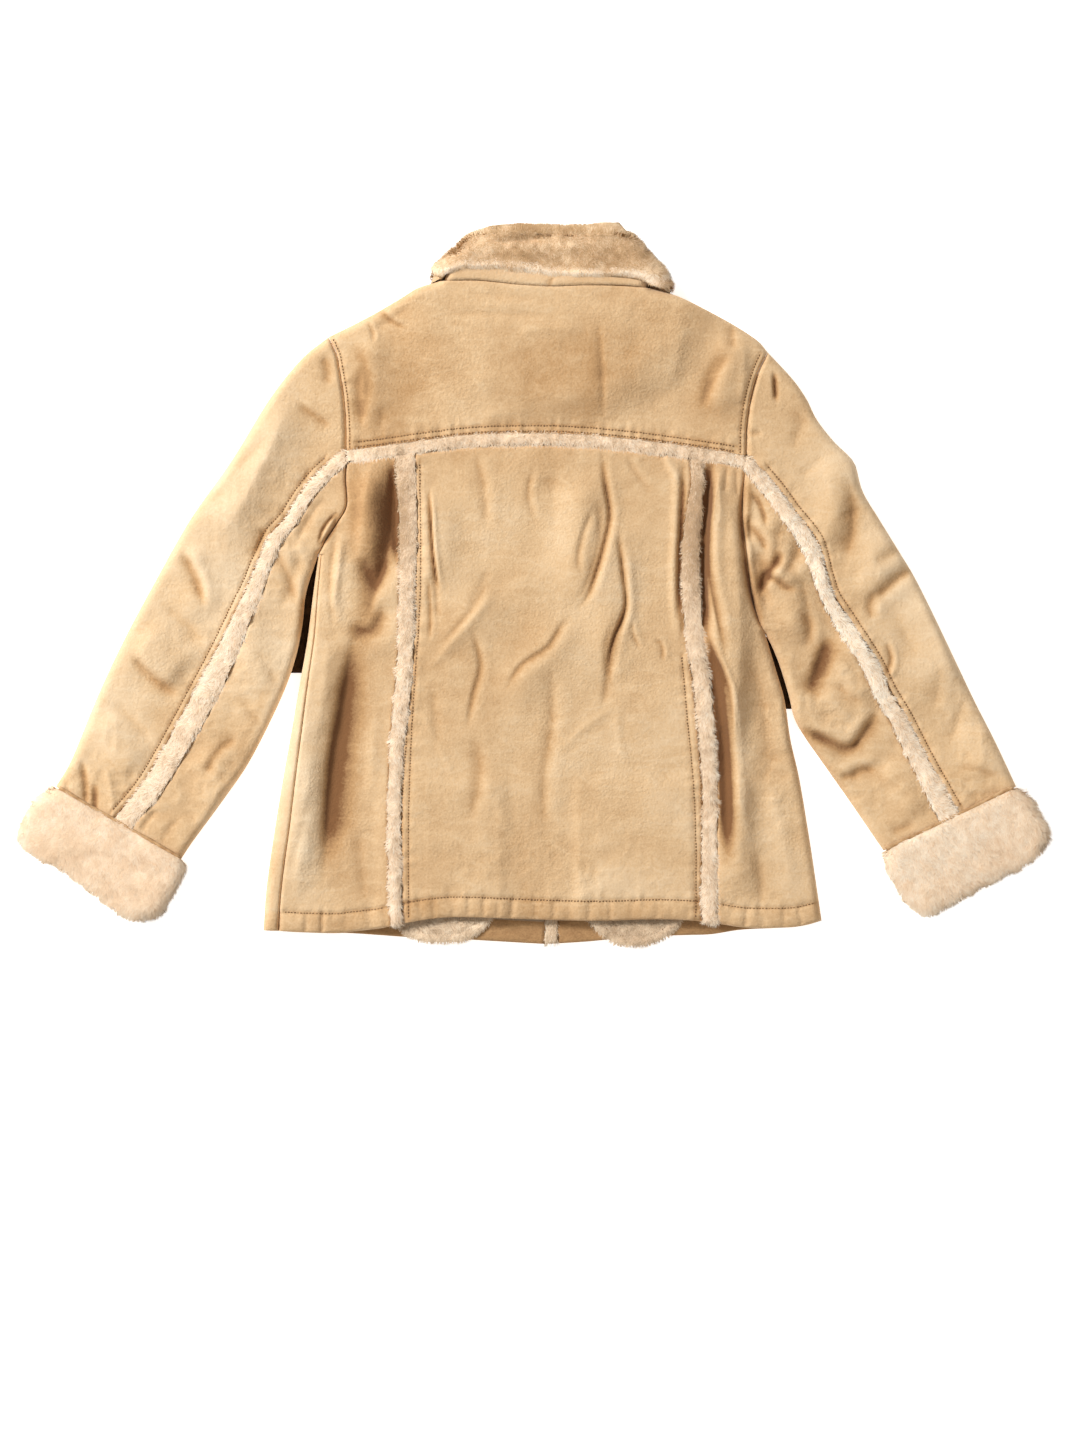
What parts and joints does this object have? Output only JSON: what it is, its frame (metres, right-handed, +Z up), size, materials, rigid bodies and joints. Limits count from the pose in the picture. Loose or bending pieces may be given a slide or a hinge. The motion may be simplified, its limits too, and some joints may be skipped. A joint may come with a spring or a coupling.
{
  "type": "faux sheepskin jacket",
  "caption": "Hip-length tan faux suede jacket laid flat, back up, with cream pile collar, wide turned-back cuffs and pile strips along the seams.",
  "frame": {"origin": "middle of the outline seen from above, on the surface that the jacket lies on", "axes": "+X from the left sleeve's side of the picture to the right one, +Y from the hem to the collar, +Z up out of the back"},
  "size_m": [1.0266, 0.7201, 0.0375],
  "materials": {
    "suede": "brushed tan faux suede",
    "strip_pile": "cream pile, brushed out",
    "cuff_pile": "long cream pile",
    "collar_pile": "long golden pile with pale tips",
    "bag_pile": "short pile, edge-stitched"
  },
  "bodies": {
    "root": {"back_yoke": "suede", "back_centre": "suede", "back_side_left": "suede", "back_side_right": "suede", "front_left": "suede", "front_right": "suede", "sleeve_upper_left": "suede", "sleeve_upper_right": "suede", "sleeve_under_left": "suede", "sleeve_under_right": "suede", "collar_stand": "suede", "yoke_strip": "strip_pile", "back_strip_left": "strip_pile", "back_strip_right": "strip_pile", "sleeve_strip_left": "strip_pile", "sleeve_strip_right": "strip_pile", "front_edge_strip": "strip_pile", "cuff_left": "cuff_pile", "cuff_right": "cuff_pile", "collar_fall": "collar_pile", "pocket_bag_left": "bag_pile", "pocket_bag_right": "bag_pile"}
  },
  "joints": []
}
